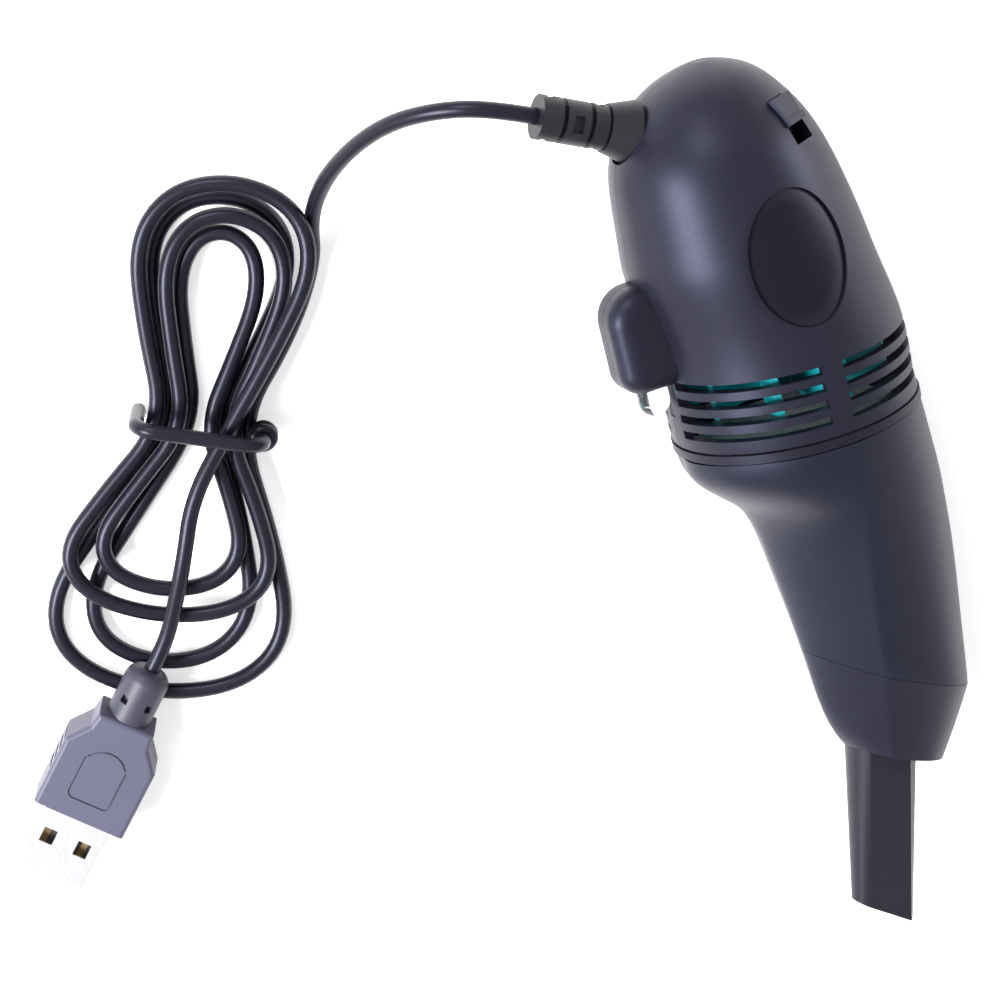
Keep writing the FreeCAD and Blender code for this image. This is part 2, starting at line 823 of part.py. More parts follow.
def tube_blank(grow, inside):
    wires = [
        tube_wire(-inside, tube_half_thick_root, -grow),
        tube_wire(0, tube_half_thick_root, -grow),
    ]
    root = Part.makeLoft(wires, True, True)
    end = tube_wire(tube_long_side + 2, tube_half_thick_tip, -grow)
    tip = Part.makeLoft([wires[1], end], True, True)
    return root.fuse(tip)


def crevice_tube():
    """Flat hollow tube with an oblique tip."""
    along, across = tube_axes()
    inner_root = tube_wire(-tube_inside - 1, tube_half_thick_root, tube_wall)
    inner_mid = tube_wire(0, tube_half_thick_root, tube_wall)
    inner_tip = tube_wire(tube_long_side + 2, tube_half_thick_tip, tube_wall)
    bore = Part.makeLoft([inner_root, inner_mid], True, True)
    bore = bore.fuse(Part.makeLoft([inner_mid, inner_tip], True, True))
    body = tube_blank(0.0, tube_inside).cut(bore)
    near = tube_root + along * tube_short_side
    far = tube_root + along * tube_long_side + across * tube_ridge
    beyond = along * 20
    lift = Vector(0, 0, 10)
    slant = (far - near)
    corners = [near - slant, far + slant, far + slant + beyond, near - slant + beyond]
    face = Part.Face(Part.makePolygon([c - lift for c in corners + corners[:1]]))
    return body.cut(face.extrude(lift * 2))


def plug_place(shape):
    """Plug pieces are drawn with x from the front face backwards, z up, on z = 0."""
    placed = shape.copy()
    placed.rotate(Vector(0, 0, 0), Vector(0, 1, 0), -plug_tilt_deg)
    placed.rotate(Vector(0, 0, 0), Vector(0, 0, 1), plug_heading_deg - 180)
    placed.translate(plug_front + Vector(0, 0, plug_lift))
    return placed


def plug_point(point):
    tilt = FreeCAD.Rotation(Vector(0, 1, 0), -plug_tilt_deg)
    turn = FreeCAD.Rotation(Vector(0, 0, 1), plug_heading_deg - 180)
    return turn.multVec(tilt.multVec(point)) + plug_front + Vector(0, 0, plug_lift)


def plug_vector(direction):
    tilt = FreeCAD.Rotation(Vector(0, 1, 0), -plug_tilt_deg)
    turn = FreeCAD.Rotation(Vector(0, 0, 1), plug_heading_deg - 180)
    return turn.multVec(tilt.multVec(direction))


def panel_groove():
    """Open U and the arc behind it, as one shallow line in the top face."""
    floor = plug_height - panel_depth
    height = panel_depth + 1.0
    outer = box_between(
        Vector(panel_front_x, -panel_half, floor),
        Vector(panel_back_x, panel_half, floor + height),
    )
    corners = [e for e in outer.Edges if e.BoundBox.ZLength > 1 and e.BoundBox.XMin < panel_front_x + 0.1]
    outer = outer.makeFillet(1.2, corners)
    line = Vector(panel_line, panel_line, 0)
    inner = box_between(
        Vector(panel_front_x, -panel_half, floor) + line,
        Vector(panel_back_x + 1, panel_half - panel_line, floor + height),
    )
    corners = [e for e in inner.Edges if e.BoundBox.ZLength > 1 and e.BoundBox.XMin < panel_front_x + 1]
    inner = inner.makeFillet(1.2 - panel_line, corners)
    centre = Vector(panel_back_x - 1.6, 0, floor)
    ring = Part.makeCylinder(panel_half + 0.2, height, centre)
    ring = ring.cut(Part.makeCylinder(panel_half + 0.2 - panel_line, height, centre))
    keep = box_between(
        centre + Vector(1.9, -plug_width, 0),
        centre + Vector(plug_width, plug_width, height),
    )
    return outer.cut(inner).fuse(ring.common(keep))


def plug_overmold():
    half = plug_width / 2
    right = [
        Vector(0, -half, 0),
        Vector(plug_shoulder_x, -half, 0),
        Vector(plug_waist_x, -plug_waist_half, 0),
        Vector(plug_length, -plug_rear_half, 0),
    ]
    points = right + [Vector(p.x, -p.y, 0) for p in right[::-1]]
    face = Part.Face(Part.makePolygon(points + points[:1]))
    body = face.extrude(Vector(0, 0, plug_height))
    rims = [e for e in body.Edges if e.BoundBox.ZLength < 0.01 and e.BoundBox.XMax > 0.01]
    body = body.makeFillet(plug_edge_round, rims)
    pocket = Part.makeBox(
        shell_root, shell_width + 0.1, shell_height + 0.1,
        Vector(-0.01, -shell_width / 2 - 0.05, (plug_height - shell_height) / 2 - 0.05),
    )
    body = body.cut(pocket).cut(panel_groove())
    margin = 1.5 * plug_edge_round
    for side in (-1, 1):
        for i in range(grip_count):
            x = plug_shoulder_x - 0.9 - grip_pitch * i
            groove = Part.makeBox(0.7, 0.6, plug_height - 2 * margin, Vector(x, side * half - 0.3, margin))
            body = body.cut(groove)
    return body


def plug_relief():
    """Round barrel behind the plug, with windows round its middle."""
    middle = plug_height / 2
    axis = Vector(1, 0, 0)
    start = Vector(plug_length + 0.02, 0, middle)
    body = Part.makeCylinder(relief_radius, relief_length, start, axis)
    end_rim = [e for e in body.Edges if e.BoundBox.XMin > start.x + relief_length - 0.01]
    body = body.makeFillet(relief_round, end_rim)
    half = relief_window / 2
    for azimuth in (-35, 35, 90, 145, 215, 270):
        window = box_between(
            Vector(start.x + 2.9, -half, middle + relief_radius - 1.1),
            Vector(start.x + 2.9 + relief_window, half, middle + relief_radius + 1.0),
        )
        window.rotate(start, axis, azimuth)
        body = body.cut(window)
    return body


def plug_shell():
    half_wide = shell_width / 2
    low = (plug_height - shell_height) / 2
    outer = Part.makeBox(shell_length + shell_root - 0.1, shell_width, shell_height,
                         Vector(-shell_length, -half_wide, low))
    long_edges = [e for e in outer.Edges if e.BoundBox.XLength > 5]
    outer = outer.makeFillet(shell_round, long_edges)
    inner = Part.makeBox(shell_length + shell_root, shell_width - 2 * shell_wall,
                         shell_height - 2 * shell_wall,
                         Vector(-shell_length - 1, -half_wide + shell_wall, low + shell_wall))
    body = outer.cut(inner)
    for side in (-1, 1):
        corner = Vector(
            shell_hole_x - shell_hole_long / 2, side * shell_hole_offset - shell_hole_wide / 2, low - 2,
        )
        hole = Part.makeBox(shell_hole_long, shell_hole_wide, shell_height + 4, corner)
        body = body.cut(hole)
    return body


def plug_tongue():
    low = (plug_height - shell_height) / 2 + shell_wall + tongue_clearance
    wide = shell_width - 2 * shell_wall - 2 * tongue_clearance
    return Part.makeBox(shell_length + shell_root - 1.6, wide, tongue_thickness,
                        Vector(-shell_length + 0.4, -wide / 2, low))


def plug_contacts():
    low = (plug_height - shell_height) / 2 + shell_wall + tongue_clearance + tongue_thickness
    strips = []
    for i in range(contact_count):
        centre = (i - (contact_count - 1) / 2) * contact_pitch
        corner = Vector(contact_recess - shell_length, centre - contact_width / 2, low + 0.01)
        strips.append(Part.makeBox(contact_length, contact_width, contact_thickness, corner))
    return Part.makeCompound(strips)


# Cord route from the gland to the hank, then the turns, then the run to the plug.
# Every point is in the part's frame, and the tube's runs meet in tangent arcs.
lead_route = (
    (-42.4, 62.3, 27.6),
    (-49.8, 61.4, 22.4),
    (-56.8, 57.8, 16.4),
    (-62.5, 52.4, 9.8),
    (-65.8, 46.2, 4.6),
    (-67.0, 39.0, 1.6),
)
tail_route = (
    (-95.0, 8.4, 8.7),
    (-99.0, -1.2, 8.8),
    (-102.3, -8.0, 7.7),
)


def hank_shape(turn):
    """Reach, width and waist place of the loops at this many turns from the start."""
    pitch = cord_diameter + strand_gap
    low = cord_radius + 0.05
    if turn < 1.5:
        waist = pitch * (1.75 - turn)
        level = low
    elif turn < 2.0:
        waist = pitch * 0.25
        level = low + pitch * (turn - 1.5) * 2
    elif turn < 3.55:
        waist = pitch * (0.25 + turn - 2.0)
        level = low + pitch
    else:
        share = min((turn - 3.55) / 0.33, 1.0)
        waist = pitch * (1.8 - 0.55 * share)
        level = low + pitch * (1 + share)
    if turn < 2.0:
        share = turn / 2.0
        ends = hank_lower_sizes
    else:
        share = (turn - 2.0) / 2.0
        ends = hank_upper_sizes
    sizes = [start + (end - start) * share for start, end in ends]
    return waist, level, *sizes


def hank_point(turn):
    """Point of the loops: down the right side, round below, up the left side."""
    waist, level, up_reach, up_width, down_reach, down_width = hank_shape(turn)
    angle = 2 * math.pi * turn
    swing = math.sin(angle)
    below = swing > 0
    reach = down_reach if below else up_reach
    width = down_width if below else up_width
    bulge = swing * swing / (abs(swing) + hank_ease) * (1 + hank_ease)
    across = math.cos(angle) * (waist + width * bulge)
    lean = -hank_lean * swing * swing if below else 0.0
    along = -reach * swing
    heading = math.radians(hank_heading_deg)
    up = Vector(math.cos(heading), math.sin(heading), 0)
    side = Vector(math.sin(heading), -math.cos(heading), 0)
    return hank_waist + up * along + side * (across + lean) + Vector(0, 0, level)


def hank_route():
    last = hank_turns * hank_points_per_turn
    return [hank_point(i / hank_points_per_turn) for i in range(hank_first_point, last + 1)]


def whole_route():
    """Control points of the whole cord, end to end, and where the hank begins and ends."""
    exit_point = body_point(gland_point(gland_length))
    heading = body_vector(gland_direction)
    start = [exit_point, exit_point + heading * 7.5]
    lead = start + [Vector(*p) for p in lead_route]
    loops = hank_route()
    entry = plug_point(Vector(plug_length + relief_length + 0.02, 0, plug_height / 2))
    back = plug_vector(Vector(1, 0, 0))
    tail = [Vector(*p) for p in tail_route] + [entry + back * 5.5, entry]
    return lead, loops, tail


def rounded_path(points):
    """Straight runs joined by tangent arcs, each as large as its two runs allow."""
    edges = []
    radii = []
    here = points[0]
    for before, corner, after in zip(points, points[1:], points[2:]):
        back = (before - corner)
        ahead = (after - corner)
        reach = 0.45 * min(back.Length, ahead.Length)
        back.normalize()
        ahead.normalize()
        turn = math.pi - back.getAngle(ahead)
        radius = reach / math.tan(turn / 2)
        radii.append(radius)
        start = corner + back * reach
        end = corner + ahead * reach
        middle_line = back + ahead
        middle_line.normalize()
        middle = corner + middle_line * (radius / math.cos(turn / 2) - radius)
        edges.append(Part.LineSegment(here, start).toShape())
        edges.append(Part.Arc(start, middle, end).toShape())
        here = end
    edges.append(Part.LineSegment(here, points[-1]).toShape())
    return Part.Wire(edges), radii


def cord_tube(points, name):
    """Round tube along the path, with its volume compared with section times length."""
    path, radii = rounded_path(points)
    first = points[1] - points[0]
    ring = Part.Wire([Part.Circle(points[0], first, cord_radius).toShape()])
    tube = path.makePipeShell([ring], True, False)
    expected = math.pi * cord_radius ** 2 * path.Length
    print(name, "length", round(path.Length, 1), "least radius", round(min(radii), 2),
          "volume ratio", round(tube.Volume / expected, 4))
    return tube, path


def least_gap(path):
    """Smallest clear distance between stretches of the tube that are far apart along it."""
    step = 1.5
    count = int(path.Length / step)
    points = path.discretize(Number=count)
    skip = int(7.0 / step)
    least = 1e9
    for i, p in enumerate(points):
        for q in points[i + skip:]:
            gap = (p - q).Length
            if gap < least:
                least = gap
    return least - cord_diameter


def split_route():
    """Cut the route in three where straight runs meet, so that the tubes join flush."""
    lead, loops, tail = whole_route()
    joint_a = (lead[-1] + loops[0]) * 0.5
    joint_b = (loops[-1] + tail[0]) * 0.5
    return lead + [joint_a], [joint_a] + loops + [joint_b], [joint_b] + tail


def hank_tie():
    """Bent strap over the waist of the hank."""
    pitch = cord_diameter + strand_gap
    half = 2.25 * pitch + cord_radius + tie_clearance + tie_radius
    top = 3 * pitch + tie_clearance + tie_radius + 0.2
    heading = math.radians(hank_heading_deg)
    side = Vector(math.sin(heading), -math.cos(heading), 0)
    left = hank_waist - side * half
    right = hank_waist + side * half
    lift = Vector(0, 0, top)
    points = [left + Vector(0, 0, 0.05), left + lift, right + lift, right + Vector(0, 0, 0.05)]
    inner = 3.0
    path = []
    here = points[0]
    for before, corner, after in zip(points, points[1:], points[2:]):
        back = (before - corner).normalize()
        ahead = (after - corner).normalize()
        start = corner + back * inner
        end = corner + ahead * inner
        middle = corner + (back + ahead) * (inner - inner / math.sqrt(2))
        path.append(Part.LineSegment(here, start).toShape())
        path.append(Part.Arc(start, middle, end).toShape())
        here = end
    path.append(Part.LineSegment(here, points[-1]).toShape())
    ring = Part.Wire([Part.Circle(points[0], Vector(0, 0, 1), tie_radius).toShape()])
    return Part.Wire(path).makePipeShell([ring], True, False)


def power_wires():
    """Two insulated wires from the gland to the motor's tabs."""
    start_y = motor_front_y + motor_can_length + motor_cap_length + terminal_long + 0.2
    wires = []
    for side, lift in ((-1, -0.9), (1, 0.9)):
        begin = gland_point(-5.8) + Vector(0, 0, lift)
        points = [
            begin,
            begin - gland_direction * 2.0,
            Vector(side * terminal_offset, start_y + 2.2, lift * 0.5),
            Vector(side * terminal_offset, start_y, 0),
        ]
        path, radii = rounded_path(points)
        ring = Part.Wire([Part.Circle(begin, points[1] - points[0], 0.5).toShape()])
        wires.append(path.makePipeShell([ring], True, False))
    return Part.makeCompound(wires)


def save(name, shape, shift):
    shape.translate(shift)
    shape.exportStep("parts/" + name + ".step")
    print(name, "solids", len(shape.Solids), "valid", shape.isValid(), "volume", round(shape.Volume, 1))


def make_body_pieces():
    return {
        "housing_upper": housing_half(1),
        "housing_lower": housing_half(-1),
        "housing_screws": screws(),
        "motor_can": motor_can(),
        "motor_end_cap": motor_end_cap(),
        "motor_terminals": motor_terminals(),
        "motor_rotor": rotor(),
        "motor_plate": motor_plate(),
        "fan": fan(),
        "lamp": lamp(),
        "lamp_leads": lamp_leads(),
        "lamp_resistor": lamp_resistor(),
        "switch_slider": switch_slider(),
        "switch_body": switch_body(),
        "switch_terminals": switch_terminals(),
        "cord_gland": gland(),
        "filter_frame": filter_frame(),
        "filter_pad": filter_pad(),
        "dust_cup": dust_cup(),
        "nozzle_cap": nozzle_cap(),
        "crevice_tube": crevice_tube(),
        "power_wires": power_wires(),
    }


def make_plug_pieces():
    return {
        "plug_overmold": plug_overmold(),
        "plug_relief": plug_relief(),
        "plug_shell": plug_shell(),
        "plug_tongue": plug_tongue(),
        "plug_contacts": plug_contacts(),
    }


def centring_shift(placed):
    """Shift that puts the middle of the body's own box over the origin."""
    box = FreeCAD.BoundBox()
    for shape in placed:
        for point in shape.tessellate(0.02)[0]:
            box.add(point)
    return Vector(-(box.XMin + box.XMax) / 2, -(box.YMin + box.YMax) / 2, -box.ZMin)


def main():
    os.makedirs("parts", exist_ok=True)
    body = {name: body_place(shape) for name, shape in make_body_pieces().items()}
    plug = {name: plug_place(shape) for name, shape in make_plug_pieces().items()}
    shift = centring_shift(list(body.values()))
    print("shift", [round(c, 4) for c in shift])
    for name, shape in {**body, **plug}.items():
        save(name, shape, shift)
    lead, loops, tail = split_route()
    for name, points in (("cord_lead", lead), ("cord_hank", loops), ("cord_tail", tail)):
        tube, path = cord_tube(points, name)
        if name == "cord_hank":
            print("least gap in the hank", round(least_gap(path), 3))
        save(name, tube, shift)
    save("hank_tie", hank_tie(), shift)


main()
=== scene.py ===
"""Looks of a desktop mini vacuum cleaner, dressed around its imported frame."""

import logging
import math
from dataclasses import dataclass, field
from enum import Enum

import bpy
from mathutils import Matrix, Vector


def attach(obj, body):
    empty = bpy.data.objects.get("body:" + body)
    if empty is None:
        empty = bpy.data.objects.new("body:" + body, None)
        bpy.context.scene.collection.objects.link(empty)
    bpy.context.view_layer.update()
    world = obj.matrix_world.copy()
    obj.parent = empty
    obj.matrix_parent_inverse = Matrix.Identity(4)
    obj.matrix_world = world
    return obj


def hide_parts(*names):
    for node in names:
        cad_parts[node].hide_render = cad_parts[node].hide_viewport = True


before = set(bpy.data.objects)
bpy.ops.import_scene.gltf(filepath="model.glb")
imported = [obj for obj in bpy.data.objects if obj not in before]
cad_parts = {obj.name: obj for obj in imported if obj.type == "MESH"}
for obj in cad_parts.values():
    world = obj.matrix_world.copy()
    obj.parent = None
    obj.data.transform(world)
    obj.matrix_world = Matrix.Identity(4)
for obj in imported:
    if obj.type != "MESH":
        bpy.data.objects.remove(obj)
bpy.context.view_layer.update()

log = logging.getLogger("mini_vacuum")

MM = 0.001
# The part is drawn from the point on the surface under the middle of the cup seam,
# and this is where that point lies in the row frame, in millimetres.
DRAWN_ORIGIN = Vector((4.9364, 13.5506, -0.0044))
AXIS_HEIGHT = 19.65
ROLL_DEG = 15.5
CORD_DIAMETER = 2.6
# Centre and half sizes of the mask of painted shade over the thumb dimples, in the body's own frame, in
# millimetres.
THUMB_CENTRE = (-2.1, 29.6, 0.0)
THUMB_HALVES = (8.6, 11.0, 200.0)
# Painted shade: the darker colour painted into the thumb dimples stands in for the shade in their hollow.
THUMB_PAINTED_SHADE = "#14141b"
# Where the edge of the painted shade's mask starts to fade, and the share of the gloss left inside it,
# dulled as part of the painted shade.
THUMB_FADE = 0.7
THUMB_GLOSS = 0.45
# Size of the soft patches of colour in a finish, in millimetres.
PATCH_MM = 14.0
# How far roughness goes to either side, and the relief of a grain as a share of its size.
ROUGHNESS_SPREAD = 0.06
BUMP_SHARE = 0.25
# Drawing marks of a plated sheet are this much finer across than along.
DRAWN_STRETCH = 0.12
# Size of a felt's fibres against its grain, and how much they wander.
FIBRE_SHARE = 0.3
FIBRE_TANGLE = 14.0


def linear(hex_colour: str, alpha: float = 1.0) -> tuple[float, float, float, float]:
    """Turn an sRGB hex colour to linear values.

    Args:
        hex_colour: six hex digits, with or without a leading hash.
        alpha: the opacity that goes with it.

    Returns:
        Linear red, green, blue and alpha.
    """
    digits = hex_colour.lstrip("#")
    channels = [int(digits[i:i + 2], 16) / 255 for i in (0, 2, 4)]
    values = [c / 12.92 if c <= 0.04045 else ((c + 0.055) / 1.055) ** 2.4 for c in channels]
    return (values[0], values[1], values[2], alpha)


def body_to_row(x: float, y: float, z: float) -> Vector:
    """Place a point of the body's own frame, in millimetres, in the row frame in metres."""
    return (body_turn(Vector((x, y, z))) + Vector((0, 0, AXIS_HEIGHT)) + DRAWN_ORIGIN) * MM


def body_turn(direction: Vector) -> Vector:
    """Turn a direction of the body's own frame into the row frame."""
    return Matrix.Rotation(math.radians(ROLL_DEG), 3, "Y") @ direction


def deselect() -> None:
    """Leave edit mode and clear the selection."""
    if bpy.context.object and bpy.context.object.mode != "OBJECT":
        bpy.ops.object.mode_set(mode="OBJECT")
    bpy.ops.object.select_all(action="DESELECT")


def activate(obj: bpy.types.Object) -> None:
    """Make one object the only selected and the active one."""
    deselect()
    obj.select_set(True)
    bpy.context.view_layer.objects.active = obj


def bake_place(obj: bpy.types.Object) -> None:
    """Move an object's place into its mesh, so that the object sits at the origin."""
    activate(obj)
    bpy.ops.object.transform_apply(location=True, rotation=True, scale=True)


class Surface(Enum):
    """How a surface was made, which decides its pattern."""

    MOULDED = "moulded"
    EXTRUDED = "extruded"
    PLATED = "plated"
    CLEAR = "clear"
    FELT = "felt"


@dataclass(frozen=True)
class Finish:
    """One finish: its colour, gloss and surface pattern at real size.

    Attributes:
        name: the material's name.
        surface: how the surface was made.
        colour: sRGB hex of the base.
        shade: sRGB hex of the darker patches.
        roughness: base roughness.
        grain_mm: size of the surface grain.
        grain_depth: bump strength of the grain.
        metallic: 1 for a metal.
        specular: strength of the plain gloss.
        ior: refractive index.
        transmission: 1 for a clear material.
        gloss_tint: sRGB hex of the gloss.
        thumb_painted_shade: whether painted shade darkens the thumb dimples and weakens their gloss, in
            place of the shade in their hollow.
    """

    name: str
    surface: Surface
    colour: str
    shade: str
    roughness: float
    grain_mm: float = 0.5
    grain_depth: float = 0.15
    metallic: float = 0.0
    specular: float = 0.5
    ior: float = 1.5
    transmission: float = 0.0
    gloss_tint: str = "#ffffff"
    thumb_painted_shade: bool = False

    def build(self) -> bpy.types.Material:
        """Make the material.

        Returns:
            The node material, with its colour, roughness and bump from noise at real scale.
        """
        material = bpy.data.materials.new(self.name)
        material.use_nodes = True
        tree = material.node_tree
        shader = tree.nodes["Principled BSDF"]
        shader.inputs["Metallic"].default_value = self.metallic
        if not self.metallic:
            shader.inputs["IOR"].default_value = self.ior
            shader.inputs["Specular IOR Level"].default_value = self.specular
        shader.inputs["Transmission Weight"].default_value = self.transmission
        shader.inputs["Specular Tint"].default_value = linear(self.gloss_tint)
        place = add_node(tree, "ShaderNodeTexCoord").outputs["Object"]
        patches = add_node(
            tree, "ShaderNodeTexNoise",
            {"Scale": 1.0 / (PATCH_MM * MM), "Detail": 3.0, "Roughness": 0.55}, {"Vector": place},
        )
        mix = add_node(
            tree, "ShaderNodeMix",
            {6: linear(self.shade), 7: linear(self.colour)}, {0: patches.outputs["Fac"]},
            data_type="RGBA",
        )
        tree.links.new(mix.outputs[2], shader.inputs["Base Color"])
        # Painted shade in the thumb dimples.
        if self.thumb_painted_shade:
            self.paint_thumb_shade(tree, place, mix.outputs[2])
        grain = self.grain(tree, place)
        spread = add_node(
            tree, "ShaderNodeMapRange",
            {
                "To Min": max(self.roughness - ROUGHNESS_SPREAD, 0.02),
                "To Max": min(self.roughness + ROUGHNESS_SPREAD, 1.0),
            },
            {"Value": grain},
        )
        tree.links.new(spread.outputs["Result"], shader.inputs["Roughness"])
        bump = add_node(
            tree, "ShaderNodeBump",
            {"Strength": self.grain_depth, "Distance": self.grain_mm * MM * BUMP_SHARE},
            {"Height": grain},
        )
        tree.links.new(bump.outputs["Normal"], shader.inputs["Normal"])
        return material

    def paint_thumb_shade(
        self, tree: bpy.types.NodeTree, place: bpy.types.NodeSocket, colour: bpy.types.NodeSocket,
    ) -> None:
        """Paint shade into the thumb dimples: the finish gets a darker colour and less gloss inside them,
        in place of the shade in their hollow.

        Args:
            tree: the material's node tree.
            place: the object's coordinates.
            colour: the colour outside the dimples.
        """
        oval = add_node(
            tree, "ShaderNodeMapping",
            {
                "Location": body_to_row(*THUMB_CENTRE),
                "Rotation": (0.0, math.radians(ROLL_DEG), 0.0),
                "Scale": tuple(half * MM for half in THUMB_HALVES),
            },
            {"Vector": place},
            vector_type="TEXTURE",
        )
        distance = add_node(
            tree, "ShaderNodeVectorMath", {}, {0: oval.outputs["Vector"]}, operation="LENGTH",
        )
        outside = add_node(
            tree, "ShaderNodeMapRange",
            {"From Min": THUMB_FADE, "From Max": 1.0}, {"Value": distance.outputs["Value"]},
            interpolation_type="SMOOTHSTEP",
        )
        # Painted shade: the colour inside the dimples is mixed towards the dark shade colour.
        painted_shade_colour = add_node(
            tree, "ShaderNodeMix",
            {6: linear(THUMB_PAINTED_SHADE)}, {0: outside.outputs["Result"], 7: colour},
            data_type="RGBA",
        )
        gloss = add_node(
            tree, "ShaderNodeMapRange",
            {"To Min": self.specular * THUMB_GLOSS, "To Max": self.specular},
            {"Value": outside.outputs["Result"]},
        )
        shader = tree.nodes["Principled BSDF"]
        tree.links.new(painted_shade_colour.outputs[2], shader.inputs["Base Color"])
        tree.links.new(gloss.outputs["Result"], shader.inputs["Specular IOR Level"])

    def grain(self, tree: bpy.types.NodeTree, place: bpy.types.NodeSocket) -> bpy.types.NodeSocket:
        """Add the surface pattern that belongs to the way the surface was made.

        Args:
            tree: the material's node tree.
            place: the coordinates that the pattern follows.

        Returns:
            The pattern's height, from 0 to 1.
        """
        scale = 1.0 / (self.grain_mm * MM)
        if self.surface is Surface.PLATED:
            # Fine drawing marks: the grain stretched along one direction.
            stretch = add_node(
                tree, "ShaderNodeMapping", {"Scale": (1.0, DRAWN_STRETCH, 1.0)}, {"Vector": place},
            )
            marks = add_node(
                tree, "ShaderNodeTexNoise",
                {"Scale": scale, "Detail": 2.0}, {"Vector": stretch.outputs["Vector"]},
            )
            return marks.outputs["Fac"]
        if self.surface is Surface.FELT:
            # Matted fibres: cells pulled about by noise.
            pull = add_node(tree, "ShaderNodeTexNoise", {"Scale": scale, "Detail": 3.0}, {"Vector": place})
            fibres = add_node(
                tree, "ShaderNodeTexWave",
                {"Scale": scale * FIBRE_SHARE, "Distortion": FIBRE_TANGLE, "Detail": 3.0},
                {"Vector": place},
            )
            blend = add_node(
                tree, "ShaderNodeMath", {}, {0: pull.outputs["Fac"], 1: fibres.outputs["Fac"]},
                operation="MULTIPLY",
            )
            return blend.outputs["Value"]
        detail = {Surface.MOULDED: 4.0, Surface.EXTRUDED: 1.0, Surface.CLEAR: 0.0}[self.surface]
        noise = add_node(
            tree, "ShaderNodeTexNoise",
            {"Scale": scale, "Detail": detail, "Roughness": 0.6}, {"Vector": place},
        )
        return noise.outputs["Fac"]


def add_node(
    tree: bpy.types.NodeTree,
    kind: str,
    settings: dict | None = None,
    links: dict | None = None,
    **properties: str,
) -> bpy.types.Node:
    """Add a node with its settings and links.

    Args:
        tree: the node tree.
        kind: the node's type name.
        settings: socket values by input name or index.
        links: sockets to link from, by input name or index.
        properties: the node's own choices, such as its operation.

    Returns:
        The new node.
    """
    node = tree.nodes.new(kind)
    for name, value in properties.items():
        setattr(node, name, value)
    for name, value in (settings or {}).items():
        node.inputs[name].default_value = value
    for name, source in (links or {}).items():
        tree.links.new(source, node.inputs[name])
    return node


# Spark-eroded moulded ABS: satin black with a blue cast where the light falls on it, and painted shade in
# the thumb dimples.
HOUSING_ABS = Finish(
    "housing_moulded_abs", Surface.MOULDED, "#191923", "#15151e", 0.42, 0.30, 0.12,
    specular=0.36, gloss_tint="#bcbde2", thumb_painted_shade=True,
)
CUP_ABS = Finish(
    "cup_moulded_abs", Surface.MOULDED, "#191a26", "#15151f", 0.41, 0.30, 0.12,
    specular=0.36, gloss_tint="#bcbde2",
)
CAP_ABS = Finish(
    "cap_moulded_abs", Surface.MOULDED, "#1a1a26", "#161620", 0.40, 0.30, 0.12,
    specular=0.36, gloss_tint="#bcbde2",
)
LIP_ABS = Finish(
    "lip_moulded_abs", Surface.MOULDED, "#16161e", "#121219", 0.44, 0.30, 0.12,
    specular=0.32, gloss_tint="#bcbde2",
)
# The tube's ABS, a little browner than the cup's.
TUBE_ABS = Finish(
    "tube_moulded_abs", Surface.MOULDED, "#242229", "#1f1d24", 0.40, 0.30, 0.12,
    specular=0.3, gloss_tint="#c8c2da",
)
# The knob's ABS, smoother where it is handled.
SLIDER_ABS = Finish(
    "slider_moulded_abs", Surface.MOULDED, "#15151d", "#121219", 0.38, 0.40, 0.06,
    specular=0.36, gloss_tint="#bcbde2",
)
# Dull moulded ABS of the wall behind the fan.
INNER_ABS = Finish(
    "inner_moulded_abs", Surface.MOULDED, "#0f0f12", "#0c0c0f", 0.60, 0.40, 0.12, specular=0.3,
)
# Teal polypropylene of the fan, slightly glossy.
FAN_TEAL = Finish("fan_teal_polypropylene", Surface.MOULDED, "#16a9b4", "#0f99a5", 0.35, 0.60, 0.05)
# Cast clear epoxy of the lamp, with a faint grey cast.
CLEAR_EPOXY = Finish(
    "lamp_clear_epoxy", Surface.CLEAR, "#d6d8e0", "#d0d3dc", 0.08, 2.0, 0.0, ior=1.5, transmission=1.0,
)
# Zinc plate on the screws, the shaft and the lamp's leads.
ZINC_STEEL = Finish("zinc_plated_steel", Surface.PLATED, "#c2c4c8", "#b6b8bd", 0.35, 0.4, 0.1, 1.0)
# Nickel plate on the drawn can of the motor.
CAN_STEEL = Finish("nickel_plated_can", Surface.PLATED, "#bdbdc0", "#b2b2b6", 0.3, 0.5, 0.08, 1.0)
# White nylon of the motor's end cap.
CAP_NYLON = Finish("motor_white_nylon", Surface.MOULDED, "#dcdcd2", "#d2d2c8", 0.5, 0.5, 0.08)
# Bare stamped brass of the terminals.
TAB_BRASS = Finish("stamped_brass", Surface.PLATED, "#c9a95c", "#bf9f52", 0.32, 0.5, 0.08, 1.0)
# Dipped lacquer on the lamp's resistor.
RESISTOR_LACQUER = Finish("resistor_lacquer", Surface.MOULDED, "#c4a988", "#b99d7b", 0.35, 0.5, 0.05)
# Black nylon of the switch's body.
SWITCH_NYLON = Finish("switch_black_nylon", Surface.MOULDED, "#1c1c20", "#17171b", 0.5, 0.5, 0.08)
# Soft moulded PVC of the gland.
GLAND_PVC = Finish(
    "gland_soft_pvc", Surface.MOULDED, "#15151d", "#121218", 0.42, 0.25, 0.12, specular=0.3,
)
# Extruded PVC jacket of the cord: smooth, with a soft shine along its top.
CORD_PVC = Finish(
    "cord_extruded_pvc", Surface.EXTRUDED, "#13131d", "#101018", 0.34, 0.40, 0.05,
    specular=0.34, gloss_tint="#cfcfe8",
)
# Red PVC of the hook-up wires inside.
WIRE_PVC = Finish("wire_red_pvc", Surface.EXTRUDED, "#a3231c", "#961e18", 0.4, 0.4, 0.05)
